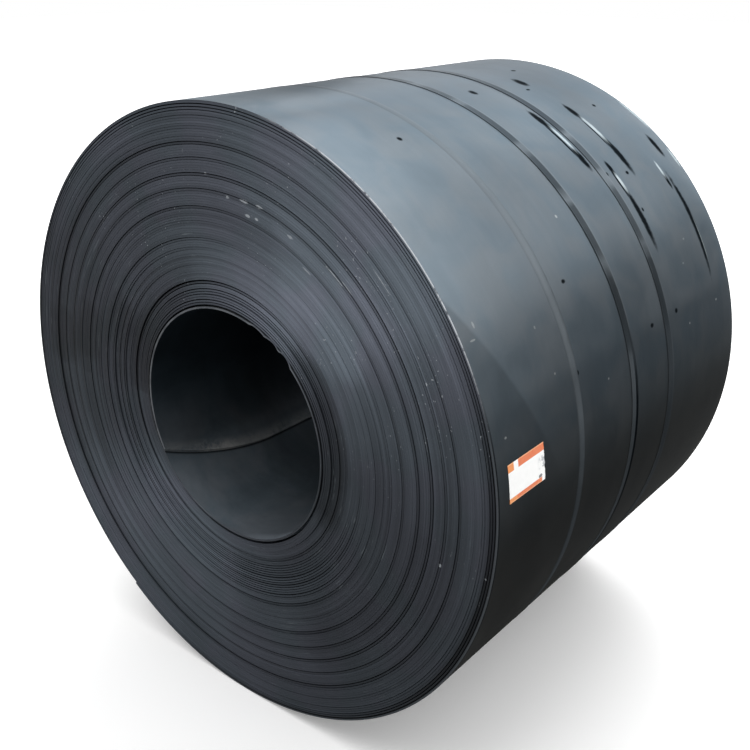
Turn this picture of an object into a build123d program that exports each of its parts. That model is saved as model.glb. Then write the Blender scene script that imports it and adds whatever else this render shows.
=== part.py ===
"""Hot-rolled steel coil lying on its side, with three straps, their seals and a paper label.

The coil's axis runs along Y, its front end faces -Y and the floor is at Z = 0.
Angles are measured about the axis from +X towards +Z.
"""
import math
import os

from build123d import *

# Driving dimensions of the coil, in millimetres and degrees
OUTER_DIAMETER = 1600.0
BORE_DIAMETER = 610.0
STRIP_WIDTH = 1250.0
STRIP_THICKNESS = 6.0

# Groups of turns from the outside in: turns in the group, shift of the group towards the back.
# The strip has one width, so a group that lies back at the front stands proud at the back.
TURN_GROUPS = [
    (5, 0.0), (10, -1.5), (12, 0.5), (6, -1.0), (7, -2.5),
    (13, -1.0), (5, 1.0), (7, 3.5), (7, 6.0), (5, 8.5),
]
INNER_SHIFT = 5.5
GAPS_AFTER_GROUPS = [1, 2, 8]
GAP_WIDTH = 2.5
GAP_DEPTH = 5.0

# The strip's inner end: a step in the bore, with a corner missing at the front
INNER_END_ANGLE = 227.0
CORNER_ANGLE = 209.0
CORNER_LENGTH = 360.0
CORNER_MIDDLE_LENGTH = 114.0

# The strip's outer end, and the angle over which either step fades out
OUTER_END_ANGLE = 235.0
FADE_ANGLE = 35.0

# Straps, each closed by a seal
STRAP_WIDTH = 32.0
STRAP_THICKNESS = 1.0
STRAP_CLEARANCE = 0.15
STRAP_DISTANCES = {"front": 350.0, "middle": 616.0, "rear": 829.0}
SEAL_ANGLE = 135.0
SEAL_LENGTH = 57.0
SEAL_WALL = 1.2
SEAL_CLEARANCE = 0.1

# Paper label on the barrel
LABEL_WIDTH = 145.0
LABEL_HEIGHT = 92.0
LABEL_THICKNESS = 0.3
LABEL_CLEARANCE = 0.1
LABEL_EDGE_DISTANCE = 38.0
LABEL_LOW_ANGLE = 3.2

# Sizes that follow from the ones above
OUTER_RADIUS = OUTER_DIAMETER / 2
BORE_RADIUS = BORE_DIAMETER / 2
STRAP_INNER_RADIUS = OUTER_RADIUS + STRAP_CLEARANCE
STRAP_OUTER_RADIUS = STRAP_INNER_RADIUS + STRAP_THICKNESS
AXIS_HEIGHT = STRAP_OUTER_RADIUS
COIL_AXIS = Axis((0, 0, AXIS_HEIGHT), (0, 1, 0))
SHIFTS = [shift for turns, shift in TURN_GROUPS] + [INNER_SHIFT]
MEAN_SHIFT = (min(SHIFTS) + max(SHIFTS)) / 2
FRONT_EDGE = -STRIP_WIDTH / 2 + TURN_GROUPS[0][1] - MEAN_SHIFT
CUT_LENGTH = STRIP_WIDTH + max(SHIFTS) - min(SHIFTS) + 2.0
CUT_MARGIN = 1.0

# A sketch behind the coil has X to the right and Z up, and is extruded towards the front
BEHIND_COIL = Plane(origin=(0, CUT_LENGTH / 2, AXIS_HEIGHT), x_dir=(1, 0, 0), z_dir=(0, -1, 0))


def group_rings():
    """Return each group's inner radius and shift, from the outside to the bore."""
    rings = []
    radius = OUTER_RADIUS
    for turns, shift in TURN_GROUPS:
        radius -= turns * STRIP_THICKNESS
        if radius < BORE_RADIUS + STRIP_THICKNESS:
            break
        rings.append((radius, shift - MEAN_SHIFT))
    rings.append((BORE_RADIUS, INNER_SHIFT - MEAN_SHIFT))
    return rings


def end_outline(side):
    """Return one end's outline from the outside to the bore; side is -1 at the front, 1 at the back."""
    rings = group_rings()
    points = []
    start = OUTER_RADIUS
    for number, (radius, shift) in enumerate(rings):
        end = side * STRIP_WIDTH / 2 + shift
        points.append((start, end))
        start = radius
        if number in GAPS_AFTER_GROUPS and number + 1 < len(rings):
            next_end = side * STRIP_WIDTH / 2 + rings[number + 1][1]
            points.append((radius + GAP_WIDTH / 2, end))
            points.append((radius, side * (min(side * end, side * next_end) - GAP_DEPTH)))
            start = radius - GAP_WIDTH / 2
        else:
            points.append((radius, end))
    return points


def polar(radius, angle):
    """Return the point at this radius and angle about the coil's axis."""
    return radius * math.cos(math.radians(angle)), radius * math.sin(math.radians(angle))


def draw_step(wall_radius, depth, margin, angle, fade):
    """Draw a step cut into a round wall: it is deepest at the angle and fades out over the fade angle."""
    middle = angle + fade / 2
    end = angle + fade
    air_radius = wall_radius - margin
    Line(polar(air_radius, angle), polar(wall_radius + depth, angle))
    ThreePointArc(
        polar(wall_radius + depth, angle),
        polar(wall_radius + depth / 2, middle),
        polar(wall_radius, end),
    )
    Line(polar(wall_radius, end), polar(air_radius, end))
    ThreePointArc(polar(air_radius, end), polar(air_radius, middle), polar(air_radius, angle))


def radial_plane(angle):
    """Return the plane through the axis at this angle, with X outwards and Y along the axis."""
    x, z = polar(1, angle)
    return Plane(origin=(0, 0, AXIS_HEIGHT), x_dir=(x, 0, z), z_dir=(-z, 0, x))


def tangent_plane(angle):
    """Return the plane on the axis that faces this angle, with X towards falling angles and Y along the axis."""
    x, z = polar(1, angle)
    return Plane(origin=(0, 0, AXIS_HEIGHT), x_dir=(z, 0, -x), z_dir=(x, 0, z))


# The missing corner of the strip's inner end, one strip thick, as a cutter
corner_half_angle = (INNER_END_ANGLE - CORNER_ANGLE) / 2
corner_half_height = BORE_RADIUS * math.sin(math.radians(corner_half_angle))
front_rim = -STRIP_WIDTH / 2 + INNER_SHIFT - MEAN_SHIFT
with BuildPart() as corner:
    with BuildSketch(tangent_plane(INNER_END_ANGLE - corner_half_angle)):
        with BuildLine():
            Polyline(
                (corner_half_height, front_rim),
                (corner_half_height, -CUT_LENGTH / 2),
                (-corner_half_height - CUT_MARGIN, -CUT_LENGTH / 2),
                (-corner_half_height - CUT_MARGIN, front_rim + CORNER_LENGTH),
                (-corner_half_height, front_rim + CORNER_LENGTH),
            )
            ThreePointArc(
                (-corner_half_height, front_rim + CORNER_LENGTH),
                (0, front_rim + CORNER_MIDDLE_LENGTH),
                (corner_half_height, front_rim),
            )
        make_face()
    extrude(amount=OUTER_RADIUS)
    with BuildSketch(BEHIND_COIL):
        Circle(BORE_RADIUS + STRIP_THICKNESS)
    extrude(amount=CUT_LENGTH, mode=Mode.INTERSECT)

# Coil: one turned solid with its bore, and a step for either end of the strip
with BuildPart() as coil:
    with BuildSketch(radial_plane(0)):
        with BuildLine():
            Polyline(*end_outline(-1), *reversed(end_outline(1)), close=True)
        make_face()
    revolve(axis=COIL_AXIS)
    with BuildSketch(BEHIND_COIL):
        with BuildLine():
            draw_step(BORE_RADIUS, STRIP_THICKNESS, CUT_MARGIN, INNER_END_ANGLE, FADE_ANGLE)
        make_face()
        with BuildLine():
            draw_step(OUTER_RADIUS, -STRIP_THICKNESS, -CUT_MARGIN, OUTER_END_ANGLE, -FADE_ANGLE)
        make_face()
    extrude(amount=CUT_LENGTH, mode=Mode.SUBTRACT)
    add(corner.part, mode=Mode.SUBTRACT)

parts = {"coil": coil.part}

# Straps: flat steel bands round the barrel
for place, distance in STRAP_DISTANCES.items():
    middle = FRONT_EDGE + distance
    with BuildPart() as strap:
        with BuildSketch(radial_plane(0)):
            with Locations(((STRAP_INNER_RADIUS + STRAP_OUTER_RADIUS) / 2, middle)):
                Rectangle(STRAP_THICKNESS, STRAP_WIDTH)
        revolve(axis=COIL_AXIS)
    parts["strap_" + place] = strap.part

    # Seals: sleeves bent over the straps, open towards the barrel
    seal_inner = STRAP_OUTER_RADIUS + SEAL_CLEARANCE
    seal_outer = seal_inner + SEAL_WALL
    seal_arc = math.degrees(SEAL_LENGTH / seal_outer)
    half_slot = STRAP_WIDTH / 2 + SEAL_CLEARANCE
    half_seal = half_slot + SEAL_WALL
    with BuildPart() as seal:
        with BuildSketch(radial_plane(SEAL_ANGLE - seal_arc / 2)):
            with BuildLine():
                Polyline(
                    (STRAP_INNER_RADIUS, middle - half_seal),
                    (seal_outer, middle - half_seal),
                    (seal_outer, middle + half_seal),
                    (STRAP_INNER_RADIUS, middle + half_seal),
                    (STRAP_INNER_RADIUS, middle + half_slot),
                    (seal_inner, middle + half_slot),
                    (seal_inner, middle - half_slot),
                    (STRAP_INNER_RADIUS, middle - half_slot),
                    close=True,
                )
            make_face()
        revolve(axis=COIL_AXIS, revolution_arc=-seal_arc)
    parts["seal_" + place] = seal.part

# Label: a sheet of paper that follows the barrel
label_radius = OUTER_RADIUS + LABEL_CLEARANCE + LABEL_THICKNESS / 2
label_arc = math.degrees(LABEL_HEIGHT / label_radius)
with BuildPart() as label:
    with BuildSketch(radial_plane(LABEL_LOW_ANGLE)):
        with Locations((label_radius, FRONT_EDGE + LABEL_EDGE_DISTANCE + LABEL_WIDTH / 2)):
            Rectangle(LABEL_THICKNESS, LABEL_WIDTH)
    revolve(axis=COIL_AXIS, revolution_arc=-label_arc)
parts["label"] = label.part

os.makedirs("parts", exist_ok=True)
for name, solid in parts.items():
    solid.label = name
    export_step(solid, "parts/" + name + ".step")
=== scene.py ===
"""Looks of the steel coil: fine turns on both ends, mill scale, worn straps and a creased paper label.

Lengths are in metres. The coil's axis runs along Y and its front end faces -Y. Angles go about the
axis from +X towards +Z, in degrees, and "depth" is the distance from the front end along +Y.
"""
import math

import bmesh
import bpy
import numpy as np
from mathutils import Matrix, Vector


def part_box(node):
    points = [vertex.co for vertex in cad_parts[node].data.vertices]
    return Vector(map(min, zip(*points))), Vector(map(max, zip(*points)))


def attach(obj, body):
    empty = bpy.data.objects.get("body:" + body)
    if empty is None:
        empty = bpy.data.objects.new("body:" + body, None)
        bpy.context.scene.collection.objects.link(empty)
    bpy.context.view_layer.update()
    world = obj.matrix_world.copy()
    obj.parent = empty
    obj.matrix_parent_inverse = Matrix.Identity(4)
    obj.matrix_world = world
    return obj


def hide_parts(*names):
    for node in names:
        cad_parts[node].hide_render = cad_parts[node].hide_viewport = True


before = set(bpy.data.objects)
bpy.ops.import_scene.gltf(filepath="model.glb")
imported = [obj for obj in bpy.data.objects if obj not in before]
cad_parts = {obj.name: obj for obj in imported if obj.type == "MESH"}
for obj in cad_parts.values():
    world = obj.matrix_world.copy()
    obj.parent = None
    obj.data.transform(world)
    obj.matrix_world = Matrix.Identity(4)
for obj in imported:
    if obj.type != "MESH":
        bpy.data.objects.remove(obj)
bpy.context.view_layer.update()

MM = 0.001

# Sizes of the coil, as in the part's source
OUTER_RADIUS = 800 * MM
BORE_RADIUS = 305 * MM
STRIP_THICKNESS = 6 * MM
STRAP_WIDTH = 32 * MM
STRAP_THICKNESS = 1.0 * MM
STRAP_CLEARANCE = 0.15 * MM
INNER_END_ANGLE = 227.0
CORNER_ANGLE = 209.0
CORNER_LENGTH = 360 * MM
CORNER_MIDDLE_LENGTH = 114 * MM
OUTER_END_ANGLE = 235.0
FADE_ANGLE = 35.0
TURN_GROUPS = [
    (5, 0.0), (10, -1.5), (12, 0.5), (6, -1.0), (7, -2.5),
    (13, -1.0), (5, 1.0), (7, 3.5), (7, 6.0), (5, 8.5), (3, 5.5),
]

COIL_LOW, COIL_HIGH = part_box("coil")
AXIS_HEIGHT = (COIL_LOW.z + COIL_HIGH.z) / 2
FRONT_Y = COIL_LOW.y
BACK_Y = COIL_HIGH.y

# The grid of the round pieces
COLUMNS = 360
STEP_ANGLE = 360.0 / COLUMNS
SLEEVE_ROWS = 90

# The bevel where an end meets the barrel or the bore, and the rounding of each turn's edges
BEVEL = 1.0 * MM
ROUNDED_EDGE = 0.7 * MM

# How far the hidden loops of the sleeves and the hidden backs of the ends lie from what is seen
HIDDEN_DEPTH = 8 * MM
HIDDEN_MARGIN = 7.5 * MM
TURNS_MARGIN = 9 * MM
TURNS_DEPTH = 45 * MM


def smooth(value):
    """Ease from 0 to 1."""
    value = np.clip(value, 0.0, 1.0)
    return value * value * (3 - 2 * value)


def wave(angle, seed, lowest=1, highest=6):
    """Return a smooth random curve of about unit height that closes after a full turn."""
    source = np.random.default_rng(seed)
    radians = np.radians(angle)
    total = np.zeros_like(radians)
    for count in range(lowest, highest + 1):
        total += source.normal() * np.cos(count * radians + source.uniform(0, 2 * math.pi)) / count
    return total


def ring_points(radius, angle, y):
    """Return points at these radii, angles and places along the axis."""
    radians = np.radians(angle)
    radius, radians, y = np.broadcast_arrays(radius, radians, y)
    return np.stack([radius * np.cos(radians), y, AXIS_HEIGHT + radius * np.sin(radians)], -1)


def new_mesh(name, points, faces, smooth_faces=True):
    """Make an object from points and faces, with every face turned outwards."""
    mesh = bpy.data.meshes.new(name)
    mesh.from_pydata(np.asarray(points).reshape(-1, 3).tolist(), [], faces)
    mesh.validate()
    solid = bmesh.new()
    solid.from_mesh(mesh)
    bmesh.ops.recalc_face_normals(solid, faces=solid.faces)
    solid.to_mesh(mesh)
    solid.free()
    piece = bpy.data.objects.new(name, mesh)
    bpy.context.scene.collection.objects.link(piece)
    mesh.polygons.foreach_set("use_smooth", [smooth_faces] * len(mesh.polygons))
    if smooth_faces:
        mesh.set_sharp_from_angle(angle=math.radians(38))
    return piece


def finish_piece(piece, material, slot, *nodes):
    """Dress a piece, fix it to the coil's body and let it stand for its CAD nodes."""
    piece.data.materials.append(material)
    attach(piece, "root")
    if nodes:
        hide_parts(*nodes)
    return piece


# The spiral: turn by turn from the bore outwards, going clockwise as seen from the front

def group_shifts():
    """Return how far the strip lies back at the front end, for each turn from the outside in."""
    shifts = []
    for turns, shift in TURN_GROUPS:
        shifts += [shift * MM] * turns
    return np.array(shifts)


SHIFTS = group_shifts()
LOWEST_SHIFT = SHIFTS.min()
HIGHEST_SHIFT = SHIFTS.max()

# Turns counted from the outside after which the winding is loose, and how wide the gap is there in mm
LOOSE_TURNS = {
    1: 0.5, 2: 0.6, 5: 0.4, 9: 0.3, 15: 1.4, 21: 0.9, 27: 1.4, 33: 0.9, 40: 0.9, 46: 0.3, 53: 0.7,
    57: 0.7, 61: 0.8, 64: 0.7, 69: 0.4, 72: 1.9, 75: 0.4, 77: 0.4, 79: 0.4, 81: 1.4,
}

# The inner turns have sagged: the same count for the loose places there, and the share of the sag at each
INNER_SLACK = {72: 0.30, 75: 0.20, 77: 0.10, 79: 0.25, 81: 0.15}

# The turns between the loose places and SAG_RADIUS are shifted by up to SAG towards SAG_ANGLE, so that the
# gaps open on that side; the shift fades out below SAG_RADIUS over SAG_FADE
SAG = 8 * MM
SAG_ANGLE = 74.0
SAG_RADIUS = 470 * MM
SAG_FADE = 102 * MM

# Where round the coil the winding passes to the next group's shift, and how many degrees that takes
CHANGE_ANGLE = 250
CHANGE_LENGTH = 50

# The groove between two turns: its depth with no gap, how much deeper it gets with the gap, and from which
# gap on it gets deeper faster
LEAST_GROOVE = 0.14 * MM
GROOVE_SLOPE = 2.2
WIDE_GAP = 0.35 * MM
WIDE_GAP_SLOPE = 7

# The scallops in the bore's front rim: the first one's angle, the span of each, and their depth in mm
DENT_ANGLE = 44.0
DENT_SPAN = 9.5
DENT_COUNT = 3
DENT_DEPTH_MM = 8.5


class Winding:
    """One end of the coil as a spiral of turns; side is -1 at the front and 1 at the back."""

    def __init__(self, side, end_angle, seed):
        self.side = side
        self.end_angle = end_angle
        self.source = np.random.default_rng(seed)
        self.last_columns = round((end_angle - OUTER_END_ANGLE) % 360 / STEP_ANGLE)
        self.full_turns = int((OUTER_RADIUS - BORE_RADIUS) / STRIP_THICKNESS - self.last_columns / COLUMNS)
        self.count = self.full_turns * COLUMNS + self.last_columns
        self.steps = np.arange(self.count + COLUMNS + 1)
        self.angles = end_angle - self.steps * STEP_ANGLE
        self.radii = self.turn_radii()
        self.crowns = self.crown_places()

    def turn_radii(self):
        """Return the radius between the turns, one for each step along the spiral and a turn beyond it."""
        turns = self.full_turns + 2
        gaps = self.source.uniform(0.02, 0.14, turns)
        for turn, gap in LOOSE_TURNS.items():
            gaps[turns - 2 - turn] += gap
        seen = self.count / COLUMNS + 1
        slack = np.interp(seen, np.arange(turns + 1), np.concatenate([[0], np.cumsum(gaps)]))
        thickness = ((OUTER_RADIUS - BORE_RADIUS) / MM - slack) / seen
        places = np.concatenate([[0], np.cumsum(gaps + thickness)]) * MM
        self.thickness = thickness * MM
        radii = BORE_RADIUS + np.interp(self.steps / COLUMNS, np.arange(turns + 1), places)
        radii += self.eccentricity(radii)
        self.close_bore(radii)
        self.close_barrel(radii)
        return radii

    def eccentricity(self, radii):
        """Return how much the radius grows or shrinks where turns are shifted off the axis."""
        inside = np.zeros(len(self.steps))
        for turn, share in INNER_SLACK.items():
            inside += share * np.clip(self.steps / COLUMNS - (self.full_turns - turn), 0, 1)
        outside = smooth((SAG_RADIUS - radii) / SAG_FADE)
        return SAG * inside * outside * np.cos(np.radians(self.angles - SAG_ANGLE))

    def close_bore(self, radii):
        """Keep the first turn's inner side on the bore, apart from the step at the strip's inner end."""
        first = slice(0, COLUMNS)
        above_end = 360 - self.steps[first] * STEP_ANGLE
        radii[first] = BORE_RADIUS + inner_step(self.end_angle, above_end)
        radii[COLUMNS] = BORE_RADIUS + STRIP_THICKNESS
        if self.side < 0:
            radii[:COLUMNS + 1] += rim_dents(self.angles[:COLUMNS + 1])

    def close_barrel(self, radii):
        """Keep the last turn's outer side on the barrel and spread the slack over the turns below it."""
        past_end = (self.steps - self.count) % COLUMNS * STEP_ANGLE
        target = OUTER_RADIUS - STRIP_THICKNESS * np.clip(1 - past_end / FADE_ANGLE, 0, 1)
        last = np.arange(self.count + 1, self.count + COLUMNS + 1)
        slack = np.zeros(COLUMNS)
        slack[last % COLUMNS] = target[last] - radii[last]
        slack[self.count % COLUMNS] = 0
        depth = (self.count + COLUMNS - self.steps) // COLUMNS
        for below, share in enumerate((1.0, 0.6, 0.3, 0.12)):
            chosen = (depth == below) & (self.steps > COLUMNS)
            radii[chosen] += share * slack[self.steps[chosen] % COLUMNS]
        radii[self.count + COLUMNS] = OUTER_RADIUS
        radii[self.count] = OUTER_RADIUS - STRIP_THICKNESS

    def crown_places(self):
        """Return where the strip's edge lies along Y at each step."""
        past_change = (OUTER_END_ANGLE - CHANGE_ANGLE) % 360 / STEP_ANGLE
        outside_in = (self.count - self.steps + past_change) / COLUMNS - 1
        whole = np.floor(outside_in)
        ease = smooth((outside_in - whole) * 360 / CHANGE_LENGTH)
        index = np.clip(whole.astype(int), 0, len(SHIFTS) - 1)
        before = np.clip(index - 1, 0, len(SHIFTS) - 1)
        shift = SHIFTS[before] * (1 - ease) + SHIFTS[index] * ease
        turns = int(self.steps[-1] / COLUMNS) + 2
        offsets = self.source.uniform(0.0, 0.5, turns)
        strays = self.source.random(turns) < 0.16
        offsets[strays] += self.source.uniform(0.3, 1.0, strays.sum())
        noise = np.interp(self.steps / COLUMNS, np.arange(turns), offsets) * MM
        ripple = 0.25 * MM * (1 + np.sin(np.radians(self.steps * STEP_ANGLE * 1.7)))
        if self.side < 0:
            return FRONT_Y + shift - LOWEST_SHIFT + noise + ripple
        return BACK_Y - (HIGHEST_SHIFT - shift) - noise - ripple


def edge_angle(depth):
    """Return the angle of the strip's inner end at this depth: a corner is missing at the front."""
    share = np.clip(depth / CORNER_LENGTH, 0, 1)
    middle = CORNER_MIDDLE_LENGTH / CORNER_LENGTH
    power = math.log(0.5) / math.log(1 - middle)
    return CORNER_ANGLE + (INNER_END_ANGLE - CORNER_ANGLE) * (1 - (1 - share) ** power)


def inner_step(end_angle, above_end):
    """Return the depth of the step in the bore at this angle above the strip's inner end."""
    fade_end = INNER_END_ANGLE + FADE_ANGLE
    return STRIP_THICKNESS * np.clip((fade_end - end_angle - above_end) / FADE_ANGLE, 0, 1)


def rim_dents(angles):
    """Return how far the bore's front rim is bent outwards: short scallops at the upper right."""
    place = (np.asarray(angles) % 360 - DENT_ANGLE) / DENT_SPAN
    inside = (place > 0) & (place < DENT_COUNT)
    scallop = np.abs(np.sin(np.pi * place)) ** 0.7 * (0.7 + 0.3 * np.sin(2.1 * place))
    return np.where(inside, scallop * DENT_DEPTH_MM * MM, 0)


def groove_depth(gap):
    """Return how deep the groove is between two turns with this gap."""
    return LEAST_GROOVE + GROOVE_SLOPE * gap + WIDE_GAP_SLOPE * np.clip(gap - WIDE_GAP, 0, None)


def turns_mesh(winding, name):
    """Build one end: every turn's edge, the grooves between them and a hidden back."""
    side = -winding.side
    count = winding.count
    total = count + 1
    radii, angles, crowns = winding.radii, winding.angles, winding.crowns
    inner = radii[:total]
    outer = radii[COLUMNS:total + COLUMNS]
    gap = np.clip(outer - inner - winding.thickness, 0.05 * MM, None)
    groove = groove_depth(gap)
    rounded = np.minimum(ROUNDED_EDGE, 0.2 * (outer - inner))
    low = inner + rounded
    high = outer - rounded - gap
    tilt = 0.3 * MM * np.sin(np.arange(total) / COLUMNS * 2.3)
    valley = np.empty(total)
    valley[COLUMNS:] = np.maximum(side * crowns[COLUMNS:total], side * crowns[:total - COLUMNS]) * side
    valley[COLUMNS:] += side * groove[:total - COLUMNS]
    valley[:COLUMNS] = crowns[:COLUMNS] + side * BEVEL
    points = [
        ring_points(inner, angles[:total], valley),
        ring_points(low, angles[:total], crowns[:total]),
        ring_points(high, angles[:total], crowns[:total] + side * np.clip(tilt, 0, None)),
    ]
    last = np.arange(total - COLUMNS, total)
    corner = ring_points(outer[last], angles[last], crowns[last] + side * BEVEL)
    back_y = (FRONT_Y if winding.side < 0 else BACK_Y) + side * TURNS_DEPTH
    lattice = winding.end_angle - np.arange(COLUMNS) * STEP_ANGLE
    back_in = ring_points(BORE_RADIUS + TURNS_MARGIN, lattice, back_y)
    back_out = ring_points(OUTER_RADIUS - TURNS_MARGIN, lattice, back_y)

    def vertex(kind, index):
        return kind * total + index

    def outer_vertex(index):
        if index + COLUMNS < total:
            return vertex(0, index + COLUMNS)
        return 3 * total + index - last[0]

    first_back = 3 * total + len(last)

    def inner_back(index):
        return first_back + index % COLUMNS

    def outer_back(index):
        return first_back + COLUMNS + index % COLUMNS

    faces = []
    for index in range(count):
        faces.append((vertex(0, index), vertex(0, index + 1), vertex(1, index + 1), vertex(1, index)))
        faces.append((vertex(1, index), vertex(1, index + 1), vertex(2, index + 1), vertex(2, index)))
        faces.append((vertex(2, index), vertex(2, index + 1), outer_vertex(index + 1), outer_vertex(index)))
    for index in range(COLUMNS):
        faces.append((vertex(0, index + 1), vertex(0, index), inner_back(index), inner_back(index + 1)))
        faces.append((inner_back(index + 1), inner_back(index), outer_back(index), outer_back(index + 1)))
    for index in range(count - COLUMNS, count):
        faces.append((outer_vertex(index), outer_vertex(index + 1), outer_back(index + 1), outer_back(index)))
    faces.append((vertex(0, 0), vertex(1, 0), vertex(2, 0), vertex(0, COLUMNS)))
    faces.append((vertex(0, 0), vertex(0, COLUMNS), inner_back(0)))
    faces.append((vertex(0, count), outer_vertex(count), vertex(2, count), vertex(1, count)))
    faces.append((outer_vertex(count), vertex(0, count), outer_back(count)))
    if winding.side > 0:
        faces = [face[::-1] for face in faces]
    piece = new_mesh(name, np.concatenate(points + [corner, back_in, back_out]), faces)
    tones = turn_tones(winding)
    rest = np.full(len(last) + 2 * COLUMNS, 0.5)
    shade = piece.data.attributes.new("turn_tone", "FLOAT", "POINT")
    shade.data.foreach_set("value", np.concatenate([*tones, rest]).astype(np.float32))
    return piece


def turn_tones(winding):
    """Return how light each turn is at its groove and on its edge: painted shade in every groove and, darker,
    beside a loose place, where steps and gaps cast shadow; each turn also varies a little at random.
    """
    count = winding.count
    angles = winding.angles[:count + 1]
    source = np.random.default_rng(31 + winding.side)
    steps = np.arange(count + 1)
    outside_in = (count - steps) / COLUMNS
    knots = np.arange(0, count / COLUMNS + 3, 0.5)
    levels = 1.0 + 0.09 * source.normal(size=len(knots))
    crown = np.interp(steps / COLUMNS, knots, levels)
    groove = np.full(count + 1, 0.94)
    around = np.radians(angles)
    for turn, width in LOOSE_TURNS.items():
        sway = 0.82 + 0.15 * np.sin(around * 2 + turn) - 0.12 * np.cos(around + 0.6)
        strength = min(width / 1.4, 1.0) * sway
        if turn < 3:
            strength = 1.6 * smooth(1 - np.abs((angles + 200) % 360 - 180) / 55)
        below = np.clip(1 - np.abs(outside_in - turn - 0.5) / 1.35, 0, 1)
        crown *= np.clip(1 - 0.46 * strength * below, 0.1, 1)
        near = np.clip(1 - np.abs(outside_in - turn) / 1.1, 0, 1)
        groove *= np.clip(1 - 0.66 * strength * near, 0.1, 1)
    return groove, crown, crown


def close_loops(rows, columns):
    """Return the quads between neighbouring loops of points; each loop starts and ends at the seam."""
    faces = []
    for row in range(rows - 1):
        for column in range(columns):
            near = row * (columns + 1) + column
            far = near + columns + 1
            faces.append((near, near + 1, far + 1, far))
    return faces


def sleeve_mesh(name, grid, hidden_front, hidden_back, outwards):
    """Build a closed sleeve from a grid of visible points, row by row, and two hidden loops behind it.

    Each row's first and last points lie either side of the strip's end, which is a step one strip thick.
    """
    rows, columns = grid.shape[0], grid.shape[1] - 1
    faces = close_loops(rows, columns)
    first = rows * (columns + 1)
    second = first + columns
    for column in range(columns):
        after = (column + 1) % columns
        faces.append((column + 1, column, first + column, first + after))
        near = (rows - 1) * (columns + 1) + column
        faces.append((near, near + 1, second + after, second + column))
        faces.append((first + after, first + column, second + column, second + after))
    for row in range(rows - 1):
        near = row * (columns + 1)
        far = near + columns + 1
        faces.append((near, far, far + columns, near + columns))
    faces.append((0, columns, first))
    faces.append((far + columns, far, second))
    if not outwards:
        faces = [face[::-1] for face in faces]
    return new_mesh(name, np.concatenate([grid.reshape(-1, 3), hidden_front, hidden_back]), faces)


def barrel_mesh(front, back):
    """Build the last turn: the barrel between the two ends, slightly uneven as rolled strip is."""
    front_last = np.arange(front.count - COLUMNS, front.count + 1)
    back_last = np.arange(back.count - COLUMNS, back.count + 1)
    angles = front.angles[front_last]
    start = front.crowns[front_last] + BEVEL
    end = back.crowns[back_last] - BEVEL
    start[0] = valley_place(front, front.count)
    end[0] = valley_place(back, back.count)
    radii = front.radii[front_last + COLUMNS]
    share = np.linspace(0, 1, SLEEVE_ROWS)[:, None]
    y = start + (end - start) * share
    middle = np.sin(np.pi * share) ** 0.35
    uneven = 0.5 + 0.25 * np.sin(7.1 * y + 2.2 * np.sin(np.radians(angles * 2 + 20)))
    uneven = uneven + 0.25 * np.sin(np.radians(angles * 5) + 5.3 * y)
    radius = radii - 0.45 * MM * uneven * middle
    grid = ring_points(radius, angles, y)
    hidden = OUTER_RADIUS - HIDDEN_MARGIN
    front_loop = ring_points(hidden, angles[:-1], start[:-1] + HIDDEN_DEPTH)
    back_loop = ring_points(hidden, angles[:-1], end[:-1] - HIDDEN_DEPTH)
    return sleeve_mesh("outer_turn", grid, front_loop, back_loop, outwards=True)


def valley_place(winding, index):
    """Return the Y of the groove between a turn and the one below it, at this step."""
    side = -winding.side
    below = index - COLUMNS
    gap = winding.radii[index] - winding.radii[below] - winding.thickness
    groove = groove_depth(max(gap, 0.05 * MM))
    return max(side * winding.crowns[index], side * winding.crowns[below]) * side + side * groove


def bore_mesh(front, back):
    """Build the first turn: the bore's wall with the step at the strip's inner end."""
    first = np.arange(COLUMNS + 1)
    above_end = 360 - first * STEP_ANGLE
    start = front.crowns[first] + BEVEL
    end = back.crowns[first] - BEVEL
    start[-1] = valley_place(front, COLUMNS)
    end[-1] = valley_place(back, COLUMNS)
    share = np.linspace(0, 1, SLEEVE_ROWS)[:, None] ** 1.3
    y = start + (end - start) * share
    edge = edge_angle((end[0] - start[0]) * share)
    angles = edge - first * STEP_ANGLE
    radius = BORE_RADIUS + inner_step(edge, above_end)
    radius = radius + rim_dents(angles) * np.exp(-(y - start) / (22 * MM))
    uneven = np.sin(4.3 * y + np.radians(3 * angles)) * 0.3 * MM
    radius = radius + (0.3 * MM + uneven) * np.sin(np.pi * share)
    grid = ring_points(radius, angles, y)
    hidden = BORE_RADIUS + HIDDEN_MARGIN
    front_loop = ring_points(hidden, front.angles[:COLUMNS], start[:-1] + HIDDEN_DEPTH)
    back_loop = ring_points(hidden, back.angles[:COLUMNS], end[:-1] - HIDDEN_DEPTH)
    return sleeve_mesh("inner_turn", grid, front_loop, back_loop, outwards=False)


# Straps, seals and label

# Each strap: how far it wanders, its height, the width of its bevels and how far its foot is off the barrel
STRAPS = {
    "front": (5 * MM, 0.2 * MM, 7 * MM, -0.45 * MM),
    "middle": (8 * MM, STRAP_THICKNESS, 0.35 * MM, 0.05 * MM),
    "rear": (3 * MM, STRAP_THICKNESS, 0.35 * MM, 0.05 * MM),
}
STRAP_SEED = 40


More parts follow.
